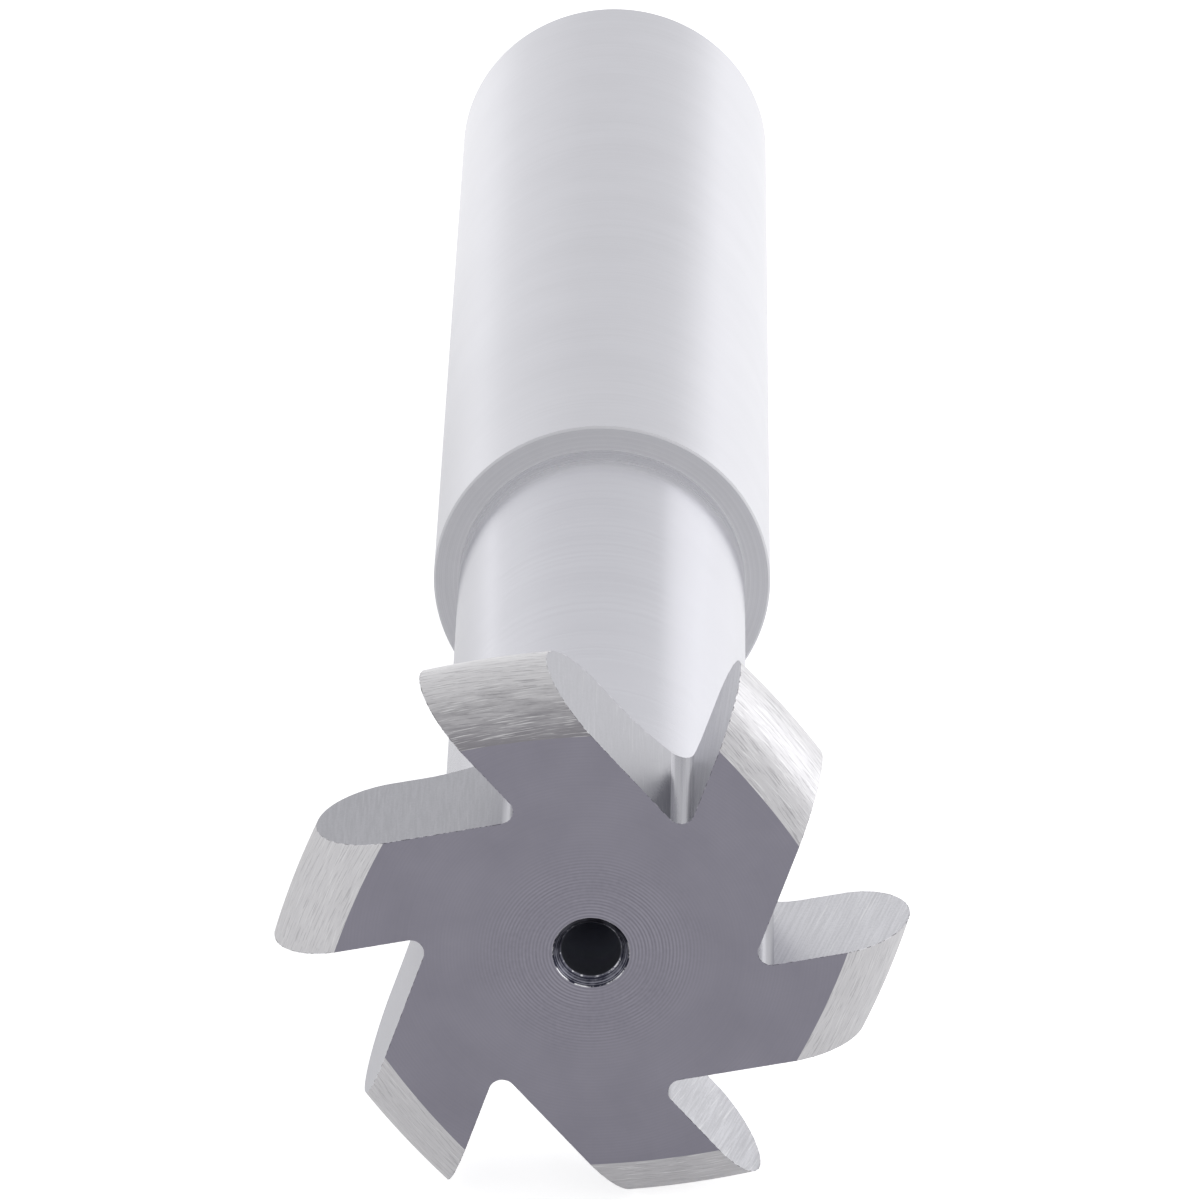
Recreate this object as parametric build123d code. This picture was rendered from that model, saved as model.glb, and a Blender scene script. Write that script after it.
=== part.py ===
from build123d import *
from math import asin, atan2, cos, degrees, radians, sin, sqrt, tan
import os

# A right-hand convex radius cutter with a plain straight shank, ground from one bar. Millimetres.
# The part lies along Y: its origin is the centre of the shank's rear face, and the cutting end points to -Y.
# It is built standing on the shank's rear face, as on a lathe, and laid down at the end.

# Turned body, from the shank's rear face to the cutting end
shank_diameter = 16.0
shank_length = 56.0
rear_chamfer = 0.4
shoulder_chamfer = 0.1
neck_diameter = 13.6
neck_length = 33.6
neck_fillet = 0.05  # where the neck meets the shoulder, nearly sharp
head_fillet = 2.4  # where the neck meets the back of the head

# Cutting head
cutter_diameter = 28.0
profile_radius = 3.0  # the convex form that the teeth carry
face_allowance = 0.01  # taken off each side of the form, so that it meets the faces at an edge
tooth_count = 6
tooth_phase = 10.4  # turn of the first cutting face from +X, seen from the cutting end
rake_angle = 8.3  # lean of the cutting face at the tip
root_diameter = 14.6  # circle that the gullet bottoms touch
gullet_angle = 60.0
gullet_fillet = 0.6
relief_angle = 18.3  # fall of the land behind the cutting edge at the tip
land_radius = 38.5  # slight crown of the land from the cutting edge to the heel

# Centre holes in both ends
front_bore_diameter = 2.6
front_rim_diameter = 3.4
front_entry_angle = 90.0
rear_bore_diameter = 2.5
rear_rim_diameter = 5.3
rear_entry_angle = 60.0
centre_bore_depth = 6.0
drill_point_angle = 118.0

# Worked out from the sizes above
head_width = 2 * (profile_radius - face_allowance)
head_back = shank_length + neck_length
head_middle = head_back + head_width / 2
overall_length = head_back + head_width
tip_radius = cutter_diameter / 2
tooth_pitch = 360 / tooth_count
face_offset = tip_radius * sin(radians(rake_angle))  # from the axis to the cutting face's plane


def on_cutting_face(radius):
    """The point of a cutting face at this distance from the axis, where the face lies along X."""
    return Vector(sqrt(radius**2 - face_offset**2), -face_offset)


def corner(sketch, x, y):
    """The corner of a sketch that lies at a point."""
    return sketch.vertices().sort_by_distance(Vector(x, y))[0]


def turned_body():
    """Shank, neck and the plain disc of the head, revolved from one outline."""
    shank_radius = shank_diameter / 2
    neck_radius = neck_diameter / 2
    outline = Polyline(
        (0, 0),
        (shank_radius, 0),
        (shank_radius, shank_length),
        (neck_radius, shank_length),
        (neck_radius, head_back),
        (tip_radius, head_back),
        (tip_radius, overall_length),
        (0, overall_length),
        close=True,
    )
    section = make_face(outline)
    section = chamfer(corner(section, shank_radius, 0), rear_chamfer)
    section = chamfer(corner(section, shank_radius, shank_length), shoulder_chamfer)
    shoulder_flat = shank_radius - shoulder_chamfer - neck_radius
    shoulder_fillet = min(neck_fillet, shoulder_flat / 2)  # a low shoulder has room for a smaller fillet
    section = fillet(corner(section, neck_radius, shank_length), shoulder_fillet)
    section = fillet(corner(section, neck_radius, head_back), head_fillet)
    return revolve(Plane.XZ * section, axis=Axis.Z)


def gullet():
    """One V-shaped chip space. Its wall along X is a cutting face, and the other is the next tooth's heel."""
    floor_x = sqrt((root_diameter / 2 + gullet_fillet) ** 2 - (face_offset - gullet_fillet) ** 2)
    point = Vector(floor_x - gullet_fillet / tan(radians(gullet_angle / 2)), -face_offset)
    wall = Vector(cutter_diameter, 0)
    section = make_face(Polyline(point, point + wall, point + wall.rotate(Axis.Z, gullet_angle), close=True))
    section = fillet(corner(section, point.X, point.Y), gullet_fillet)
    return Pos(0, 0, head_back - head_fillet) * extrude(section, head_width + 2 * head_fillet)


def land_relief():
    """The stock that is ground off outside one land, turned about the land's own axis beside the cutter's."""
    tip = on_cutting_face(tip_radius)
    tip_angle = atan2(tip.Y, tip.X)
    inwards = tip_angle + radians(180 - relief_angle)
    land_axis = tip + land_radius * Vector(cos(inwards), sin(inwards))
    # The form is a true arc where the cutting edge sweeps, so it is lower when measured square to the land.
    form_centre = on_cutting_face(tip_radius - profile_radius)
    form_height = land_radius - (form_centre - land_axis).length
    form_base = Pos(land_radius - form_height, 0)
    stock = Rectangle(form_height + profile_radius, 2 * head_width, align=(Align.MIN, Align.CENTER))
    section = form_base * (stock - Ellipse(form_height, profile_radius))
    # The cut starts ahead of the cutting edge and runs out behind the heel, both in the gullets.
    lead = degrees(asin(profile_radius / land_radius))
    tooth = degrees(asin(tip_radius * sin(radians(tooth_pitch / 2)) / land_radius))
    start = degrees(atan2(tip.Y - land_axis.Y, tip.X - land_axis.X)) + lead
    ring = revolve(Plane.XZ * section, axis=Axis.Z, revolution_arc=-(lead + tooth + lead))
    return Pos(land_axis.X, land_axis.Y, head_middle) * Rot(0, 0, start) * ring


def centre_hole(bore_diameter, rim_diameter, entry_angle):
    """A bore with a conical entry, drilled upwards from z = 0."""
    bore_radius = bore_diameter / 2
    rim_radius = rim_diameter / 2
    entry_depth = (rim_radius - bore_radius) / tan(radians(entry_angle / 2))
    point_depth = bore_radius / tan(radians(drill_point_angle / 2))
    outline = Polyline(
        (0, 0),
        (rim_radius, 0),
        (bore_radius, entry_depth),
        (bore_radius, centre_bore_depth),
        (0, centre_bore_depth + point_depth),
        close=True,
    )
    return revolve(Plane.XZ * make_face(outline), axis=Axis.Z)


def radius_cutter():
    cutter = turned_body()
    for tooth in range(tooth_count):
        turn = Rot(0, 0, tooth_phase + tooth * tooth_pitch)
        cutter -= turn * gullet()
        cutter -= turn * land_relief()
    cutter -= centre_hole(rear_bore_diameter, rear_rim_diameter, rear_entry_angle)
    front_hole = centre_hole(front_bore_diameter, front_rim_diameter, front_entry_angle)
    cutter -= Pos(0, 0, overall_length) * Rot(180, 0, 0) * front_hole
    return Plane.XZ.location * cutter


os.makedirs("parts", exist_ok=True)
export_step(radius_cutter(), "parts/radius_cutter.step")
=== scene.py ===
from math import asin, atan2, cos, floor, hypot, pi, radians, sin, sqrt, tan

import bmesh
import bpy
from mathutils import Matrix, Vector


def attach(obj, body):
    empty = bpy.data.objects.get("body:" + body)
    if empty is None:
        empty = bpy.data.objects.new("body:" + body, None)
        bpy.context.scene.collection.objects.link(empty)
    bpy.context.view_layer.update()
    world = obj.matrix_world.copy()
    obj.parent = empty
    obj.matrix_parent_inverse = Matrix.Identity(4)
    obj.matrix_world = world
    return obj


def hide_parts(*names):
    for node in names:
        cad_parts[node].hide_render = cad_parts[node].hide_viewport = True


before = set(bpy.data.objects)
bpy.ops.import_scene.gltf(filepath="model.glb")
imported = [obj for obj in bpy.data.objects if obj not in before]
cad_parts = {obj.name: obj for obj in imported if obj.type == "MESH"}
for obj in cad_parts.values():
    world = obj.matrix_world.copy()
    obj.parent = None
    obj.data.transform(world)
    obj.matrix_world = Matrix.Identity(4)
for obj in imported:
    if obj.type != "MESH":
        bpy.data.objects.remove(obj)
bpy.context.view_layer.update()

mm = 0.001
tiny = 0.002 * mm  # points closer than this lie at the same place


def say(stage):
    print("radius cutter:", stage)


# Sizes of the cutter

c = {
    "shankRadius": 8.0 * mm, "shankLength": 56.0 * mm, "rearChamfer": 0.4 * mm, "shoulderChamfer": 0.1 * mm,
    "neckRadius": 6.8 * mm, "neckLength": 33.6 * mm, "neckFillet": 0.05 * mm, "headFillet": 2.4 * mm,
    "tipRadius": 14.0 * mm, "formRadius": 3.0 * mm, "faceAllowance": 0.01 * mm,
    "teeth": 6, "toothPhase": radians(10.4), "rake": radians(8.3),
    "rootRadius": 7.3 * mm, "gulletAngle": radians(60), "gulletFillet": 0.6 * mm,
    "relief": radians(18.3), "landRadius": 38.5 * mm,
    "frontBore": 1.3 * mm, "frontRim": 1.7 * mm, "frontEntry": radians(90),
    "rearBore": 1.25 * mm, "rearRim": 2.65 * mm, "rearEntry": radians(60),
    "boreDepth": 6.0 * mm, "drillPoint": radians(118),
    "stock": 0.6 * mm,  # left outside the tips on the turned blank, for the land relief to take off
    "around": 288,  # steps round the turned parts
    "neckFilletSteps": 6, "headFilletSteps": 24, "formSteps": 49, "landSteps": 40, "rootSteps": 12,
}
headWidth = 2 * (c["formRadius"] - c["faceAllowance"])
headBack = c["shankLength"] + c["neckLength"]
headMiddle = headBack + headWidth / 2
overall = headBack + headWidth
pitch = 2 * pi / c["teeth"]
faceOffset = c["tipRadius"] * sin(c["rake"])  # from the axis to a cutting face's plane


def at(x, up, along=0.0):
    # a point given by its place across the tool and how far it lies from the shank's rear face
    return Vector((x, -along, up))


def onCuttingFace(radius):
    # the point of a cutting face at this distance from the axis, where the face lies along X
    return at(sqrt(radius ** 2 - faceOffset ** 2), -faceOffset)


# Steps that every piece needs

def deselectAll():
    bpy.ops.object.select_all(action="DESELECT")


def pickOnly(piece):
    deselectAll()
    piece.select_set(True)
    bpy.context.view_layer.objects.active = piece


def startEditing(piece):
    pickOnly(piece)
    bpy.ops.object.mode_set(mode="EDIT")
    bpy.ops.mesh.select_all(action="SELECT")


def choose(kind, test):
    # selects only the verts or edges of the edited mesh that pass the test
    mesh = bmesh.from_edit_mesh(bpy.context.edit_object.data)
    bpy.ops.mesh.select_mode(type=kind)
    bpy.ops.mesh.select_all(action="DESELECT")
    for element in {"VERT": mesh.verts, "EDGE": mesh.edges}[kind]:
        if test(element):
            element.select_set(True)
    mesh.select_flush_mode()
    bmesh.update_edit_mesh(bpy.context.edit_object.data)


def stopEditing():
    # welds the doubles of an extruded or spun shape and turns its faces outward
    bpy.ops.mesh.select_all(action="SELECT")
    bpy.ops.mesh.remove_doubles(threshold=tiny / 10)
    bpy.ops.mesh.normals_make_consistent(inside=False)
    bpy.ops.object.mode_set(mode="OBJECT")


def setInPlace(piece):
    # the object goes to the origin, unturned, with its place in its mesh
    pickOnly(piece)
    bpy.ops.object.transform_apply(location=True, rotation=True, scale=True)


# Shader maths

def tone(red, green, blue):
    # a colour as a screen shows it, 0 to 255, made linear
    parts = [value / 255 for value in (red, green, blue)]
    return tuple([part / 12.92 if part < 0.04045 else ((part + 0.055) / 1.055) ** 2.4 for part in parts] + [1.0])


class Value:
    # a socket that maths can be written with, so that 1 - mask adds a Math node
    def __init__(self, nodes, socket):
        self.nodes, self.socket = nodes, socket

    def other(self, name):
        # another output of the same node
        return Value(self.nodes, self.socket.node.outputs[name])

    def maths(self, operation, first, second):
        return self.nodes.add("Math", {"operation": operation}, {0: first, 1: second})

    def __add__(self, other):
        return self.maths("ADD", self, other)

    def __sub__(self, other):
        return self.maths("SUBTRACT", self, other)

    def __rsub__(self, other):
        return self.maths("SUBTRACT", other, self)

    def __mul__(self, other):
        return self.maths("MULTIPLY", self, other)

    def __mod__(self, other):
        return self.maths("FLOORED_MODULO", self, other)

    def __rmod__(self, other):
        return self.maths("FLOORED_MODULO", other, self)

    __radd__, __rmul__ = __add__, __mul__


class Nodes:
    # the node tree of a material or of the world
    def __init__(self, owner):
        owner.use_nodes = True
        self.tree = owner.node_tree
        self.tree.nodes.clear()

    def socket(self, sockets, key):
        # by number, or by name among those that the node's settings leave in use
        return sockets[key] if isinstance(key, int) else next(s for s in sockets if s.name == key and s.enabled)

    def add(self, kind, settings=None, values=None, output=0):
        # a node's settings first, then the values or links of its sockets
        node = self.tree.nodes.new("ShaderNode" + kind)
        for name, setting in (settings or {}).items():
            setattr(node, name, setting)
        for key, value in (values or {}).items():
            socket = self.socket(node.inputs, key)
            if isinstance(value, Value):
                self.tree.links.new(value.socket, socket)
            else:
                socket.default_value = value
        return Value(self, self.socket(node.outputs, output)) if len(node.outputs) else None

    def blend(self, mask, first, second):
        # from one colour to another
        return self.add("Mix", {"data_type": "RGBA"}, {"Factor": mask, "A": first, "B": second}, "Result")

    def ease(self, value, start, end, low=0.0, high=1.0):
        # low below start, high above end, smooth between
        limits = {"Value": value, "From Min": start, "From Max": end, "To Min": low, "To Max": high}
        return self.add("MapRange", {"interpolation_type": "SMOOTHSTEP"}, limits)

    def wave(self, value):
        return self.add("Math", {"operation": "SINE"}, {0: value})

    def vector(self, x, y):
        return self.add("CombineXYZ", {}, {"X": x, "Y": y})

    def split(self, vector):
        # X, with Y and Z as the other outputs
        return self.add("SeparateXYZ", {}, {"Vector": vector})

    def own(self):
        # the piece's own coordinates
        return self.add("TexCoord").other("Object")

    def along(self):
        # distance along the tool from the shank's rear face
        return self.split(self.own()).other("Y") * -1

    def axisDistance(self):
        across = self.add("VectorMath", {"operation": "MULTIPLY"}, {0: self.own(), 1: (1, 0, 1)}, "Vector")
        return self.add("VectorMath", {"operation": "LENGTH"}, {0: across}, "Value")

    def place(self, across, along=None):
        # the piece's own coordinates, scaled across the tool and, where that differs, along it
        return self.add("Mapping", {}, {"Vector": self.own(), "Scale": (across, along or across, across)})

    def grain(self):
        # millimetres along and across a land's sweep, or out from the axis and along the tool on a gullet's wall
        x = self.split(self.add("UVMap", {"uv_map": "grain"}))
        return x, x.other("Y")

    def attribute(self, name):
        return self.add("Attribute", {"attribute_name": name}).other("Fac")

    def noise(self, vector, detail=2.0, roughness=0.5, distortion=0.0):
        return self.add("TexNoise", {}, {
            "Vector": vector, "Scale": 1.0, "Detail": detail, "Roughness": roughness, "Distortion": distortion,
        })

    def lines(self, u, v, along, across, lean, *noise):
        # noise drawn out into lines, by its scale along a land's sweep and across it and by the lines' lean
        return self.noise(self.vector(u * along, v * across + u * lean), *noise)

    def rings(self, radius, scale, detail=1.0):
        # noise that changes only with the distance from the axis
        return self.add("TexNoise", {"noise_dimensions": "1D"}, {"W": radius * scale, "Scale": 1.0, "Detail": detail})


bumpStrength = 0.5


def steel(n, colour, roughness, height, distance, metallic=1.0):
    # bare steel: what changes over the surface comes in as links, the rest is set on the shader
    bumps = n.add("Bump", {}, {"Height": height, "Strength": bumpStrength, "Distance": distance})
    looks = {"Base Color": colour, "Roughness": roughness, "Metallic": metallic, "Normal": bumps}
    n.add("OutputMaterial", {}, {"Surface": n.add("BsdfPrincipled", {}, looks)})


def newFinish(name):
    material = bpy.data.materials.new(name)
    return material, Nodes(material)


# The burr on the sharp edges: dark burr specks, and bright specks that are a painted highlight

burrAndHighlight = {
    "width": 0.09 * mm, "samples": 6, "turn": (0.02, 0.22),  # how far the surface turns within the width
    # bright is a painted highlight along the edges, dark is the burr
    "bright": tone(236, 236, 240), "dark": tone(54, 53, 60),
    "spots": 4300, "brightFrom": (0.52, 0.58), "darkFrom": (0.49, 0.43),
}


def withBurrAndHighlight(n, colour, highlightShare=1.0):
    # a broken line of painted highlight specks and dark burr specks over a finish's colour
    spots = n.noise(n.place(burrAndHighlight["spots"]), 2, 0.6)
    rounded = n.add("Bevel", {"samples": burrAndHighlight["samples"]}, {"Radius": burrAndHighlight["width"]})
    plain = n.add("NewGeometry").other("Normal")
    facing = n.add("VectorMath", {"operation": "DOT_PRODUCT"}, {0: rounded, 1: plain}, "Value")
    edge = n.ease(1 - facing, *burrAndHighlight["turn"])
    bright = n.blend(edge * n.ease(spots, *burrAndHighlight["brightFrom"], 0.0, highlightShare), colour, burrAndHighlight["bright"])
    return n.blend(edge * n.ease(spots, *burrAndHighlight["darkFrom"]), bright, burrAndHighlight["dark"])


# The turned faces: tool rings round the axis, strong near the axis and faint further out

# painted shade: the front face's colours are darker than the other turned faces, for the dark surroundings that it
# reflects
frontFace = {
    "dark": tone(125, 123, 134), "light": tone(146, 144, 155), "roughness": 0.36, "burrAndHighlight": 0.25,
    "ringPitch": 0.15 * mm, "ringDepth": 0.0014 * mm, "strongTo": 3.0 * mm, "faintFrom": 5.6 * mm, "faint": 0.10,
}
plainTurned = {
    "dark": tone(206, 206, 210), "light": tone(215, 215, 219), "roughness": 0.68, "burrAndHighlight": 0.0,
    "ringPitch": 0.09 * mm, "ringDepth": 0.0003 * mm, "strongTo": 3.0 * mm, "faintFrom": 6.0 * mm, "faint": 0.35,
}
corner = dict(plainTurned, dark=tone(202, 202, 206), light=tone(210, 210, 214))  # where the neck meets the shoulder, a little darker: painted shade in the corner
turnedGrain = {
    "cloud": 420, "wander": 160, "wanderBy": 9, "uneven": 5200, "specksAcross": 5200, "specksAlong": 900,
    "strong": 1.2, "strongEdge": 4 * mm,
    "calm": 0.7, "lively": 2.0,  # how strong the rings are where the cloud is thin, and where it is thick
}


def turnedFinish(name, look):
    material, n = newFinish(name)
    grain = turnedGrain
    radius = n.axisDistance()
    cloud = n.noise(n.place(grain["cloud"]), 3)
    wander = n.noise(n.place(grain["wander"]), 2)
    ring = n.wave(radius * (2 * pi / look["ringPitch"]) + wander * grain["wanderBy"]) * 0.5 + 0.5
    uneven = n.rings(radius, grain["uneven"], 3)
    specks = n.noise(n.place(grain["specksAcross"], grain["specksAlong"]), 1)
    ragged = radius + (cloud - 0.5) * grain["strongEdge"]
    strong = n.ease(ragged, look["strongTo"], look["faintFrom"], grain["strong"], look["faint"])
    lively = n.ease(cloud, 0.40, 0.62, grain["calm"], grain["lively"])
    cut = (ring * 0.5 + uneven * 0.5 - 0.5) * strong * lively
    shade = cut + (specks - 0.5) * strong * 0.5 + cloud * 0.6 + 0.2
    colour = n.blend(shade, look["dark"], look["light"])
    roughness = n.ease(uneven, 0.3, 0.7, look["roughness"] - 0.04, look["roughness"] + 0.05)
    if look["burrAndHighlight"]:
        colour = withBurrAndHighlight(n, colour, look["burrAndHighlight"])
    steel(n, colour, roughness, cut, look["ringDepth"])
    return material


# The lands: brushed along their sweep, some teeth more roughly than others, with painted shade on some

land = {
    "dark": tone(200, 199, 202), "light": tone(226, 225, 227), "roughness": 0.36, "depth": 0.006 * mm,
    # noise: scale along and across the sweep for each millimetre, lean, detail, roughness, distortion
    "patch": (0.5, 1.8, 0.0, 3, 0.6),
    "coarse": (0.6, 11.0, 0.3, 4, 0.8, 0.1),
    "streak": (0.55, 15.0, -0.7, 2, 0.6),
    "nick": (0.6, 15.0, 0.7, 3, 0.7),
    "scratch": tone(240, 240, 241), "scratchFrom": (0.56, 0.66), "scratched": 0.1, "scratchedByWear": 0.38,
    # the groove colour also paints the shade of the lands
    "grooveAndShade": tone(128, 126, 131), "grooveFrom": (0.45, 0.39), "grooved": 0.14, "groovedByWear": 0.36,
    "shadedFrontReach": (0.8, 4.6), "shadedFrontRagged": 3,  # millimetres across the land towards the front
    # of each tooth's land, from the one at the right, anticlockwise from the front
    "wear": (0.5, 0.9, 1.0, 0.5, 0.5, 0.6),
    # painted shade: over each whole land, most on the lowest, and over the front part of the lands, mostly on one
    "paintedShade": (0.12, 0.11, 0.0, 0.11, 0.12, 0.30),
    "shadedFront": (0.0, 0.1, 0.95, 0.0, 0.1, 0.1),
}
wearAndShadeNames = ("wear", "paintedShade", "shadedFront")


def brushedFinish(name, look):
    material, n = newFinish(name)
    u, v = n.grain()
    wear, paintedShade, shadedFront = [n.attribute(amount) for amount in wearAndShadeNames]
    patch, coarse, streak, nick = [n.lines(u, v, *look[kind]) for kind in ("patch", "coarse", "streak", "nick")]
    shade = (patch * 0.25 + coarse * 0.75 - 0.5) * (wear + 0.9) + 0.5
    # painted shade: the land darkened as a whole and towards its front
    plain = n.blend(paintedShade, n.blend(shade, look["dark"], look["light"]), look["grooveAndShade"])
    inShadedFront = n.ease(v + (patch + coarse - 1) * look["shadedFrontRagged"], *look["shadedFrontReach"]) * shadedFront
    scratched = n.ease(streak, *look["scratchFrom"]) * (wear * look["scratchedByWear"] + look["scratched"])
    grooved = n.ease(nick, *look["grooveFrom"]) * (wear * look["groovedByWear"] + look["grooved"])
    colour = n.blend(scratched, n.blend(inShadedFront, plain, look["grooveAndShade"]), look["scratch"])
    colour = n.blend(grooved, colour, look["grooveAndShade"])
    roughness = n.ease(coarse, 0.35, 0.65, look["roughness"] + 0.10, look["roughness"] - 0.02)
    steel(n, withBurrAndHighlight(n, colour), roughness, coarse * 0.5 + streak * 0.25 + nick * 0.25, look["depth"])
    return material


# The gullet walls: cross-ground cutting faces, heels and the round root between them, each gullet toned with painted
# light and shade

# the levels are painted light and shade: each gullet's tone between dark and light, set for how light falls on it,
# counted like the lands
cutting = {
    "dark": tone(150, 150, 156), "light": tone(228, 228, 233), "contrast": 0.32,
    "lightAndShadeLevels": (0.68, 0.61, 0.6, 0.6, 0.6, 0.43),
    "roughness": 0.36, "across": 8.0, "lean": 0.26, "along": 0.22, "glints": 0.294, "mottled": 0.3,
    "depth": 0.003 * mm,
}
heel = {
    "dark": tone(140, 140, 146), "light": tone(200, 200, 206), "contrast": 0.22,
    "lightAndShadeLevels": (0.39, 0.22, 0.41, 0.95, 0.39, 0.39),
    "roughness": 0.36, "across": 6.5, "lean": 0.02, "along": 0.4, "glints": 0.07, "mottled": 0.3,
    "depth": 0.002 * mm,
    # a painted dark reflection at the root and the front of one heel, in millimetres
    "hasPaintedReflection": (0, 1, 0, 0, 0, 0), "paintedReflection": tone(110, 110, 119), "paintedReflectionFrom": 2.66, "paintedReflectionSize": 1.5,
    "paintedReflectionEdge": 0.6, "paintedReflectionRagged": 0.8, "paintedReflectionTaper": 0.25,  # it narrows by this behind the front
}
root = {
    "dark": tone(150, 150, 157), "light": tone(183, 183, 189), "contrast": 1.0,
    "lightAndShadeLevels": (1.0, 0.35, 0.4, 0.8, 0.5, 0.5),
    "roughness": 0.27, "across": 2.6, "lean": 0.0, "along": 0.02, "glints": 0.0, "mottled": 0.0,
    "depth": 0.0005 * mm,
}
wallGrain = {
    "mottleAcross": 9.0, "mottleAlong": 7.0,
    # the glints lean a little more than the marks, and are coarser
    "glintLean": 1.15, "glintAcross": 0.8, "glintAlong": 0.15,
    "glintFrom": (0.60, 0.66), "glint": tone(240, 240, 241),
}
grainStep = 41  # millimetres between the marks of one tooth and of the next


def groundFinish(name, look):
    material, n = newFinish(name)
    grain = wallGrain
    u, v = n.grain()
    marks = n.noise(n.vector((u + v * look["lean"]) * look["across"], v * look["along"]), 4, 0.7, 0.15)
    mottle = n.noise(n.vector(u * grain["mottleAcross"], v * grain["mottleAlong"]), 4, 0.65)
    glintAcross = (u + v * (look["lean"] * grain["glintLean"])) * (look["across"] * grain["glintAcross"])
    glints = n.ease(n.noise(n.vector(glintAcross, v * grain["glintAlong"]), 2, 0.7), *grain["glintFrom"])
    shade = n.ease(marks * (1 - look["mottled"]) + mottle * look["mottled"], 0.38, 0.62) - 0.5
    # painted light and shade: each gullet's own level
    colour = n.blend(n.attribute("lightAndShadeLevel") + shade * look["contrast"], look["dark"], look["light"])
    # painted reflection: a dark patch at the root and the front of one heel
    if "paintedReflection" in look:
        fromRoot, fromFront = u % grainStep - look["paintedReflectionFrom"], overall / mm - v
        reach = fromRoot + fromFront * look["paintedReflectionTaper"] + (mottle - 0.5) * look["paintedReflectionRagged"]
        inPaintedReflection = n.ease(reach, look["paintedReflectionSize"], look["paintedReflectionSize"] - look["paintedReflectionEdge"])
        colour = n.blend(inPaintedReflection * n.attribute("hasPaintedReflection"), colour, look["paintedReflection"])
    colour = n.blend(glints * look["glints"], colour, grain["glint"])
    roughness = n.ease(marks, 0.3, 0.7, look["roughness"] - 0.05, look["roughness"] + 0.05)
    steel(n, withBurrAndHighlight(n, colour), roughness, marks, look["depth"])
    return material


# The cylinders: satin, with fine grinding lines round the axis

shank = {"dark": tone(198, 198, 204), "light": tone(205, 205, 211), "roughness": 0.30, "lines": 9000, "burrAndHighlight": 1.0}
neck = {
    "dark": tone(195, 195, 202), "light": tone(201, 201, 208), "roughness": 0.24, "lines": 7000, "burrAndHighlight": 0.0,
    "strip": (2.5 * mm, 1.2 * mm),  # painted light: brighter beside the shoulder, lifting the shade of the corner, from where it starts to where it is full
    "stripPaintedLight": tone(227, 227, 230), "stripRoughness": 0.26,
}
satin = {"lineLength": 55, "cloudAcross": 130, "cloudAlong": 260, "depth": 0.00004 * mm}


def cylinderFinish(name, look):
    material, n = newFinish(name)
    line = n.noise(n.place(satin["lineLength"], look["lines"]), 3, 0.6)
    cloud = n.noise(n.place(satin["cloudAcross"], satin["cloudAlong"]), 4, 0.6)
    colour = n.blend(n.ease(line * 0.6 + cloud * 0.4, 0.3, 0.7), look["dark"], look["light"])
    roughness = n.ease(line, 0.3, 0.7, look["roughness"] - 0.02, look["roughness"] + 0.03)
    if "strip" in look:
        # painted light beside the shoulder
        inStrip = n.ease(n.along() - c["shankLength"], *look["strip"])
        colour = n.blend(inStrip, colour, look["stripPaintedLight"])
        roughness = roughness + inStrip * (look["stripRoughness"] - look["roughness"])
    if look["burrAndHighlight"]:
        colour = withBurrAndHighlight(n, colour, look["burrAndHighlight"])
    steel(n, colour, roughness, line, satin["depth"])
    return material


# The drilled holes: dark, with coarse rings and a ragged rim of painted highlight on the front one's entry cone

frontDrilled = {
    "face": overall, "into": -1,  # where the hole starts, and which way it goes
    "boreRadius": c["frontBore"], "rimRadius": c["frontRim"],
    "entry": tone(44, 46, 54), "bore": tone(128, 131, 148),
    "dark": tone(40, 41, 54), "light": tone(138, 138, 150), "rimHighlight": tone(235, 235, 240), "ragged": 1.0,
    "roughness": 0.30, "ringScale": 16000, "patchScale": 1500, "depth": 0.012 * mm,
}
rearDrilled = {
    "face": 0.0, "into": 1,
    "boreRadius": c["rearBore"], "rimRadius": c["rearRim"],
    "entry": tone(60, 62, 70), "bore": tone(128, 131, 148),
    "dark": tone(128, 128, 138), "light": tone(170, 170, 178), "rimHighlight": tone(215, 215, 220), "ragged": 0.3,
    "roughness": 0.34, "ringScale": 7000, "patchScale": 600, "depth": 0.002 * mm,
}
drilled = {
    "coneEdge": 0.04 * mm, "innerEdge": (0.10 * mm, 0.05 * mm), "outerEdge": (0.06 * mm, 0.02 * mm),
    "sparkle": 5200, "sparkleFrom": (0.50, 0.58), "patchFrom": (0.44, 0.56),
    "entryTo": 0.3 * mm, "boreFrom": 4.5 * mm, "boreRougher": 0.35,
}


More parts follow.
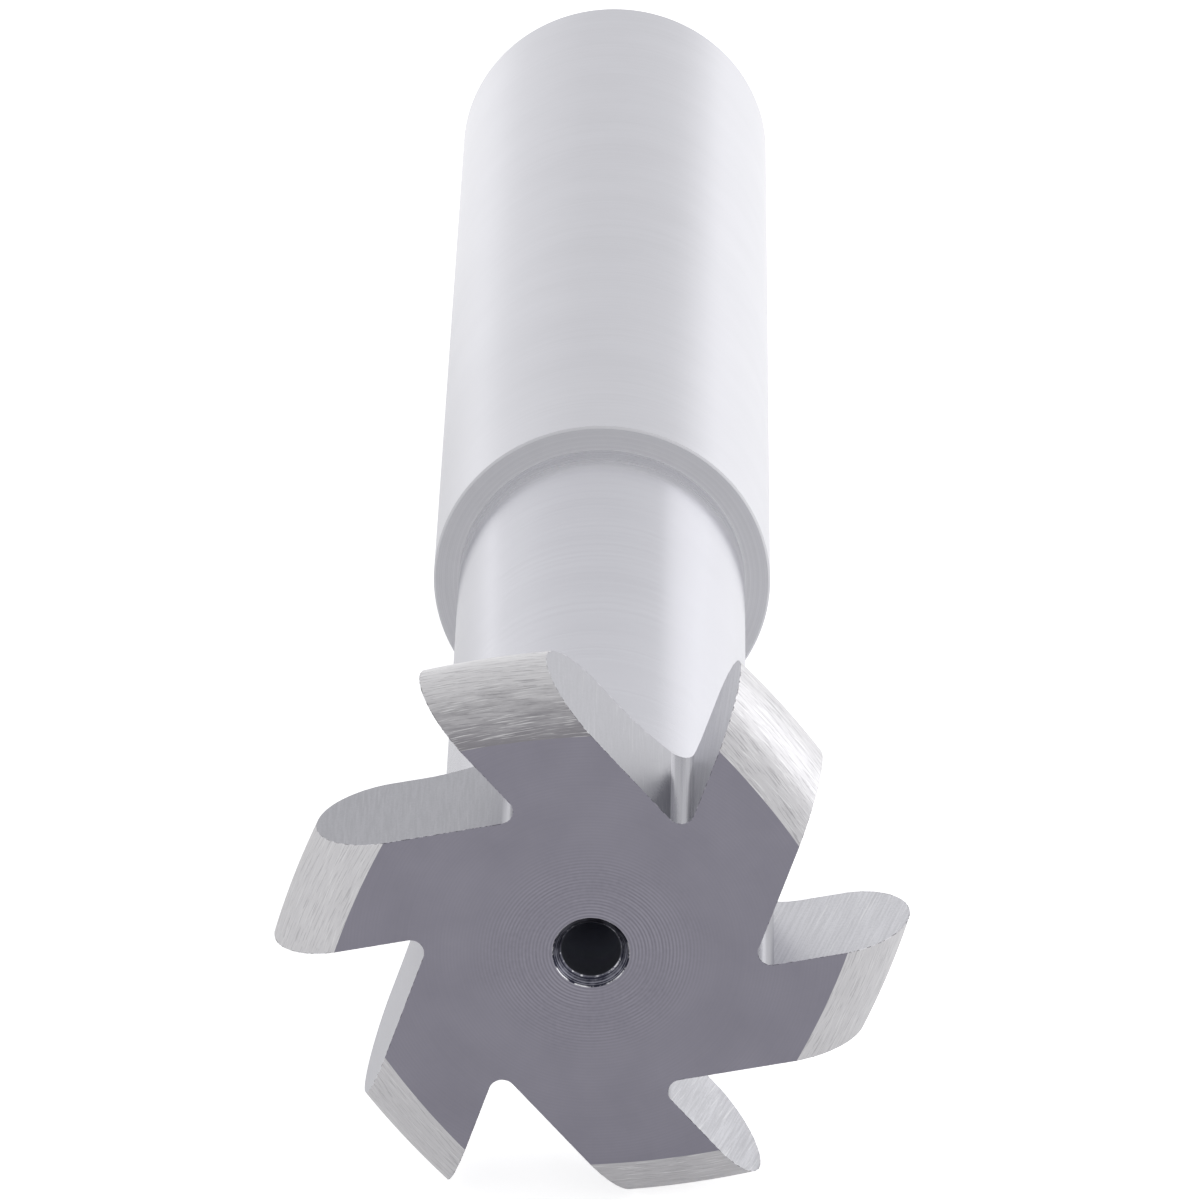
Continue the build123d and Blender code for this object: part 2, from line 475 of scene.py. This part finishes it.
def drilledFinish(name, look):
    material, n = newFinish(name)
    radius = n.axisDistance()
    fromBore = radius - look["boreRadius"]
    uneven = n.rings(radius, look["ringScale"])
    patch = n.noise(n.place(look["patchScale"]), 3, 0.6)
    sparkle = n.ease(n.noise(n.place(drilled["sparkle"]), 2, 0.6), *drilled["sparkleFrom"])
    inCone = n.ease(fromBore, 0.0, drilled["coneEdge"])
    innerEdge = n.ease(fromBore, *drilled["innerEdge"]) * inCone * sparkle
    outerEdge = n.ease(look["rimRadius"] - radius, *drilled["outerEdge"])
    # painted highlight: ragged bright specks along the entry cone's rims
    bright = (outerEdge + innerEdge) * n.ease(patch, *drilled["patchFrom"]) * look["ragged"]
    shade = n.ease(uneven * 0.5 + patch * 0.5, 0.40, 0.66)
    cone = n.blend(bright, n.blend(shade, look["dark"], look["light"]), look["rimHighlight"])
    roughness = n.ease(patch, 0.3, 0.7, look["roughness"], look["roughness"] + 0.15)
    roughness = roughness + (1 - inCone) * drilled["boreRougher"]
    deep = n.ease((n.along() - look["face"]) * look["into"], drilled["entryTo"], drilled["boreFrom"])
    bore = n.blend(deep, look["entry"], look["bore"])  # darker near the entry, lighter deeper in
    steel(n, n.blend(inCone, bore, cone), roughness, uneven + patch, look["depth"], inCone)
    return material


say("mixing the finishes")
finishes = {
    "shank": cylinderFinish("shankGround", shank),
    "neck": cylinderFinish("neckGround", neck),
    "turned": turnedFinish("shoulderTurned", plainTurned),
    "corner": turnedFinish("cornerShadeTurned", corner),
    "front": turnedFinish("frontFaceTurnedShade", frontFace),
    "frontHole": drilledFinish("frontHoleDrilled", frontDrilled),
    "rearHole": drilledFinish("rearHoleDrilled", rearDrilled),
    "cutting": groundFinish("cuttingFaceGround", cutting),
    "heel": groundFinish("heelGround", heel),
    "root": groundFinish("rootGround", root),
    "land": brushedFinish("landBrushed", land),
}


def giveFinish(piece, finishOf):
    # each face's finish from its middle and normal
    names = sorted({finishOf(face.center, face.normal) for face in piece.data.polygons})
    for name in names:
        piece.data.materials.append(finishes[name])
    for face in piece.data.polygons:
        face.material_index = names.index(finishOf(face.center, face.normal))


# The turned blank

def addRing(radius, along, steps, name):
    deselectAll()
    place, turn = at(0, 0, along), (radians(90), 0, 0)
    bpy.ops.mesh.primitive_circle_add(vertices=steps, radius=radius, location=place, rotation=turn, fill_type="NOTHING")
    ring = bpy.context.object
    ring.name = ring.data.name = name
    setInPlace(ring)
    return ring


def drawOut(fromRing, toRing):
    # extrudes the selected ring from one (radius, along) to the next
    bpy.ops.mesh.extrude_region_move(TRANSFORM_OT_translate={"value": at(0, 0, toRing[1] - fromRing[1])})
    scale = toRing[0] / fromRing[0]
    bpy.ops.transform.resize(value=(scale, 1, scale), center_override=at(0, 0, toRing[1]))


def closePole(depth):
    # the drill point at the bottom of a hole
    bpy.ops.mesh.extrude_region_move(TRANSFORM_OT_translate={"value": at(0, 0, depth)})
    bpy.ops.mesh.merge(type="CENTER")


def onRing(radius, along):
    # a test for edges that lie on the ring at this radius and this distance from the rear face
    def lies(edge):
        return all(abs(hypot(v.co.x, v.co.z) - radius) < tiny and abs(v.co.y + along) < tiny for v in edge.verts)
    return lies


def easeRing(radius, along, size, steps):
    # a chamfer in one step, or a fillet in more
    choose("EDGE", onRing(radius, along))
    bpy.ops.mesh.bevel(
        offset_type="OFFSET", offset=size, segments=steps, profile=0.5, affect="EDGES", clamp_overlap=False)


def turnBlank():
    frontEntryDepth = (c["frontRim"] - c["frontBore"]) / tan(c["frontEntry"] / 2)
    rearEntryDepth = (c["rearRim"] - c["rearBore"]) / tan(c["rearEntry"] / 2)
    headRadius = c["tipRadius"] + c["stock"]
    rings = [
        (c["rearBore"], c["boreDepth"]), (c["rearBore"], rearEntryDepth), (c["rearRim"], 0),
        (c["shankRadius"], 0), (c["shankRadius"], c["shankLength"]),
        (c["neckRadius"], c["shankLength"]), (c["neckRadius"], headBack),
        (headRadius, headBack), (headRadius, overall), (c["frontRim"], overall),
        (c["frontBore"], overall - frontEntryDepth), (c["frontBore"], overall - c["boreDepth"]),
    ]
    blank = addRing(*rings[0], c["around"], "radiusCutter")
    startEditing(blank)
    for fromRing, toRing in zip(rings, rings[1:]):
        drawOut(fromRing, toRing)
    closePole(-c["frontBore"] / tan(c["drillPoint"] / 2))
    choose("EDGE", onRing(*rings[0]))
    closePole(c["rearBore"] / tan(c["drillPoint"] / 2))
    easeRing(c["shankRadius"], 0, c["rearChamfer"], 1)
    easeRing(c["shankRadius"], c["shankLength"], c["shoulderChamfer"], 1)
    easeRing(c["neckRadius"], c["shankLength"], c["neckFillet"], c["neckFilletSteps"])
    easeRing(c["neckRadius"], headBack, c["headFillet"], c["headFilletSteps"])
    stopEditing()
    return blank


flatOn = 0.99  # of a normal along the tool, for a face to count as square to it
wallOn = 0.999  # of a normal along a gullet wall's, for a face to count as part of that wall


def blankFinish(middle, normal):
    along, radius = -middle.y, hypot(middle.x, middle.z)
    fromShoulder = abs(along - c["shankLength"])
    if radius < c["rearRim"] and normal.y < flatOn and along < c["shankLength"]:
        return "rearHole"
    if radius < c["frontRim"] and normal.y > -flatOn and along > headBack:
        return "frontHole"
    if normal.y < -flatOn and along > overall - tiny:
        return "front"
    # painted shade: the corner between the neck and the shoulder gets the darker finish
    if abs(normal.y) < flatOn and radius < c["neckRadius"] + c["neckFillet"] and fromShoulder < c["neckFillet"]:
        return "corner"
    if abs(normal.y) > flatOn or fromShoulder < c["shoulderChamfer"]:
        return "turned"
    return "shank" if along < c["shankLength"] else "neck"


# What is ground away between and behind the teeth

def openArc(name, steps, keep, scale, turned):
    # part of a circle's outline, left open for straight runs to be drawn out of its ends
    deselectAll()
    bpy.ops.mesh.primitive_circle_add(vertices=steps, radius=1.0, rotation=(turned, 0, 0), fill_type="NOTHING")
    arc = bpy.context.object
    arc.name = arc.data.name = name
    setInPlace(arc)
    startEditing(arc)
    choose("VERT", lambda v: not keep(v.co))
    bpy.ops.mesh.delete(type="VERT")
    bpy.ops.mesh.select_all(action="SELECT")
    bpy.ops.transform.resize(value=scale, center_override=(0, 0, 0))
    return arc


def drawRun(start, *moves):
    # a run of straight edges from the end that lies at start
    choose("VERT", lambda v: (v.co - start).length < tiny)
    for move in moves:
        bpy.ops.mesh.extrude_vertices_move(TRANSFORM_OT_translate={"value": move})


def fillProfile():
    bpy.ops.mesh.select_all(action="SELECT")
    bpy.ops.mesh.edge_face_add()


def shapeGullet():
    # a V groove with a rounded root: the cutting face runs along X and the next tooth's heel leans back from it
    radius, wall = c["gulletFillet"], 2 * c["tipRadius"]
    floorX = sqrt((c["rootRadius"] + radius) ** 2 - (faceOffset - radius) ** 2)
    heelTurn = c["gulletAngle"] + pi / 2  # where the root's arc meets the heel
    cuttingTurn = 1.5 * pi  # and where it meets the cutting face
    step = (cuttingTurn - heelTurn) / c["rootSteps"]
    heelNormal, cuttingNormal = at(cos(heelTurn), sin(heelTurn)), at(0, -1)

    def onRoot(co):
        return heelTurn - step / 2 < atan2(co.z, co.x) % (2 * pi) < cuttingTurn + step / 2

    def wallFinish(middle, normal):
        if normal.dot(cuttingNormal) > wallOn:
            return "cutting"
        return "heel" if normal.dot(heelNormal) > wallOn else "root"

    gullet = openArc("gullet", round(2 * pi / step), onRoot, (radius,) * 3, radians(90))
    drawRun(radius * cuttingNormal, at(wall, 0))
    drawRun(radius * heelNormal, wall * at(cos(c["gulletAngle"]), sin(c["gulletAngle"])))
    fillProfile()
    bpy.ops.mesh.extrude_region_move(TRANSFORM_OT_translate={"value": at(0, 0, headWidth + 2 * c["headFillet"])})
    stopEditing()
    giveFinish(gullet, wallFinish)
    gullet.location = at(floorX, radius - faceOffset, headBack - c["headFillet"])
    setInPlace(gullet)
    return gullet


def landShape():
    # the land's axis, the height of its form, and the angles that its sweep starts from and turns through
    tip = onCuttingFace(c["tipRadius"])
    inwards = pi - c["rake"] - c["relief"]
    axis = tip + c["landRadius"] * at(cos(inwards), sin(inwards))
    # the form is a true arc where the cutting edge sweeps, so it is lower when measured square to the land
    height = c["landRadius"] - (onCuttingFace(c["tipRadius"] - c["formRadius"]) - axis).length
    lead = asin(c["formRadius"] / c["landRadius"])  # run-in and run-out in the gullets beside the tooth
    tooth = asin(c["tipRadius"] * sin(pitch / 2) / c["landRadius"])
    return axis, height, atan2((tip - axis).z, (tip - axis).x) + lead, 2 * lead + tooth


def shapeLandRelief():
    # the stock outside one land, with the convex form left hollow in its inner side, swept about the land's own axis
    axis, height, start, turn = landShape()
    outside, beside = height + c["formRadius"], headWidth - c["formRadius"]
    form = (height, c["formRadius"], 1)
    relief = openArc("landRelief", 2 * c["formSteps"], lambda co: co.x > -tiny, form, 0)
    for side in (-1, 1):
        drawRun(Vector((0, side * c["formRadius"], 0)), (0, side * beside, 0), (outside, 0, 0))
    fillProfile()
    bpy.ops.transform.translate(value=(c["landRadius"] - height, 0, 0))
    bpy.ops.mesh.spin(steps=c["landSteps"], angle=turn, center=(0, 0, 0), axis=(0, -1, 0))
    stopEditing()
    relief.data.materials.append(finishes["land"])
    relief.rotation_euler = (0, -start, 0)
    relief.location = axis + at(0, 0, headMiddle)
    setInPlace(relief)
    return relief


def turnedCopies(piece, teeth):
    # one joined object with a copy of the piece at each of these teeth
    copies = []
    for tooth in teeth:
        pickOnly(piece)
        bpy.ops.object.duplicate()
        copy = bpy.context.object
        copy.rotation_euler = (0, -(c["toothPhase"] + tooth * pitch), 0)
        setInPlace(copy)
        copies.append(copy)
    deselectAll()
    for copy in copies:
        copy.select_set(True)
    bpy.context.view_layer.objects.active = copies[0]
    bpy.ops.object.join()
    return bpy.context.object


def grindAway(piece, stock):
    # takes the stock off the piece, and leaves the stock's finish on the new faces
    pickOnly(piece)
    cut = piece.modifiers.new("cut", "BOOLEAN")
    cut.operation, cut.solver, cut.material_mode = "DIFFERENCE", "EXACT", "TRANSFER"
    cut.object = stock
    bpy.ops.object.modifier_apply(modifier=cut.name)
    bpy.data.objects.remove(stock)


def layGrain(piece):
    # a UV map in millimetres, along and across the marks of every ground face, and each tooth's wear, painted shade,
    # painted light and painted reflection
    axis, height = landShape()[:2]
    piece.data.uv_layers.new(name="grain")
    for name in wearAndShadeNames + ("lightAndShadeLevel", "hasPaintedReflection"):
        piece.data.attributes.new(name, "FLOAT", "FACE")
    grain = piece.data.uv_layers["grain"]
    walls = {finishes["cutting"].name: cutting, finishes["heel"].name: heel, finishes["root"].name: root}
    names = [slot.material.name for slot in piece.material_slots]

    def mark(face, name, amounts, tooth):
        piece.data.attributes[name].data[face.index].value = amounts[tooth % c["teeth"]]

    for face in piece.data.polygons:
        finish = names[face.material_index]
        isLand, isHeel = finish == finishes["land"].name, finish == finishes["heel"].name
        angle = atan2(face.center.z, face.center.x) - c["toothPhase"]
        tooth = floor(angle / pitch) + 1 if isLand else round(angle / pitch)
        for name in wearAndShadeNames:
            mark(face, name, land[name], tooth)
        if finish in walls:
            mark(face, "lightAndShadeLevel", walls[finish]["lightAndShadeLevels"], tooth)
            mark(face, "hasPaintedReflection", heel["hasPaintedReflection"], tooth)
        turned = Matrix.Rotation(c["toothPhase"] + tooth * pitch, 3, "Y")
        for loop in face.loop_indices:
            spot = turned @ piece.data.vertices[piece.data.loops[loop].vertex_index].co
            u, v = spot.x, -spot.y
            if isLand:
                off = spot - axis
                out = hypot(off.x, off.z) - (c["landRadius"] - height)
                u = atan2(off.z, off.x) * c["landRadius"]
                v = atan2((-spot.y - headMiddle) / c["formRadius"], out / height) * c["formRadius"]
            elif isHeel:
                u = spot.x * cos(c["gulletAngle"]) + spot.z * sin(c["gulletAngle"])
            grain.data[loop].uv = (u / mm + grainStep * tooth, v / mm)


say("turning the blank")
radiusCutter = turnBlank()
giveFinish(radiusCutter, blankFinish)
say("grinding the gullets and the lands")
gullet, landRelief = shapeGullet(), shapeLandRelief()
grindAway(radiusCutter, turnedCopies(gullet, range(c["teeth"])))
for first in (0, 1):  # neighbours overlap in the gullets, so every other tooth at a time
    grindAway(radiusCutter, turnedCopies(landRelief, range(first, c["teeth"], 2)))
for used in (gullet, landRelief):
    bpy.data.objects.remove(used)
layGrain(radiusCutter)
pickOnly(radiusCutter)
bpy.ops.object.shade_smooth_by_angle(angle=radians(22))  # steps of the fillets look round, and edges stay sharp

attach(radiusCutter, "root")
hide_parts("radius_cutter")


# Camera, floor and light

say("setting up the studio")
cameraPlace = (0.00597, -0.46380, 0.18335)
cameraTurn = (65.6795, 0.3200, 0.7081)  # degrees
cameraLens, sensorWidth = 282.15, 36.0

bpy.ops.object.camera_add(location=cameraPlace, rotation=[radians(turn) for turn in cameraTurn])
camera = bpy.context.object
camera.data.lens, camera.data.sensor_width = cameraLens, sensorWidth
camera.data.clip_start = 0.01
bpy.context.scene.camera = camera
bpy.context.scene.view_settings.view_transform = "Standard"

lowestTooth = 12.8 * mm  # under the axis
floorLook = {
    "size": 12.0, "shadowShare": 0.31, "colour": (0.80, 0.80, 0.80, 1),
    "slope": atan2(lowestTooth - c["shankRadius"], headMiddle),  # the tool rests on its teeth and the shank's rear edge
    # the glow in metal, from the front left to the back right: a painted shadow, darker at the front left where the
    # tool's shadow falls
    "dark": 0.45, "bright": 1.0, "darkTo": -0.055, "brightFrom": 0.030, "middle": -0.02, "skew": 0.8,
}


def seenDirectly(n, inMetal=1.0):
    # 1 for what the camera sees, also through glass, and a share of it in metal
    path = n.add("LightPath")
    return path.other("Is Camera Ray") + path.other("Is Glossy Ray") * inMetal + path.other("Is Transmission Ray")


def layFloor(look):
    deselectAll()
    bpy.ops.mesh.primitive_plane_add(size=look["size"])
    studioFloor = bpy.context.object
    studioFloor.name = studioFloor.data.name = "studioFloor"
    studioFloor.rotation_euler = (look["slope"], 0, 0)
    studioFloor.location = at(0, -lowestTooth, headMiddle)
    setInPlace(studioFloor)
    material, n = newFinish("floorPaper")
    paper = n.add("BsdfDiffuse", {}, {"Color": look["colour"]})
    black = n.add("BsdfDiffuse", {}, {"Color": (0, 0, 0, 1)})
    glow = n.add("Emission", {}, {"Color": (1, 1, 1, 1), "Strength": 1 - look["shadowShare"]})
    x = n.split(n.own())
    across = x + (x.other("Y") - look["middle"]) * look["skew"]
    # painted shadow in the floor's glow that metal shows
    inMetal = n.ease(across, look["darkTo"], look["brightFrom"], look["dark"], look["bright"])
    seen = n.add("MixShader", {}, {"Fac": seenDirectly(n, inMetal), 1: black, 2: glow})
    n.add("OutputMaterial", {}, {"Surface": n.add("AddShader", {}, {0: paper, 1: seen})})
    studioFloor.data.materials.append(material)


room = {"around": 0.8, "overhead": 0.8, "darkensOver": (0.15, 0.95)}


def paintWorld(look):
    # white at the horizon and a little darker overhead
    world = bpy.data.worlds.new("studio")
    bpy.context.scene.world = world
    n = Nodes(world)
    up = n.split(n.add("TexCoord").other("Generated")).other("Z")
    seen = seenDirectly(n) * (1 - look["around"]) + look["around"]
    strength = n.ease(up, *look["darkensOver"], 1.0, look["overhead"]) * seen
    n.add("OutputWorld", {}, {"Surface": n.add("Background", {}, {"Color": (1, 1, 1, 1), "Strength": strength})})


lamps = {  # each gives about its share of the background's white in a mirror
    "keyLamp": {"place": (0.76, 0.79, 0.05), "size": 0.80, "share": 0.38},
    "fillLamp": {"place": (-0.42, 1.00, 0.14), "size": 0.50, "share": 0.06},
    "sideLamp": {"place": (0.95, 0.00, 0.30), "size": 1.0, "share": 0.85},
}


def hangLamp(name, look):
    place = Vector(look["place"])
    aim = at(0, 0, headBack) - place
    deselectAll()
    bpy.ops.object.light_add(type="AREA", location=place, rotation=aim.to_track_quat("-Z", "Y").to_euler())
    lamp = bpy.context.object
    lamp.name = name
    lamp.data.size, lamp.data.energy = look["size"], look["share"] * pi * look["size"] ** 2


layFloor(floorLook)
paintWorld(room)
for name, look in lamps.items():
    hangLamp(name, look)

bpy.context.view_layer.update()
say("done")
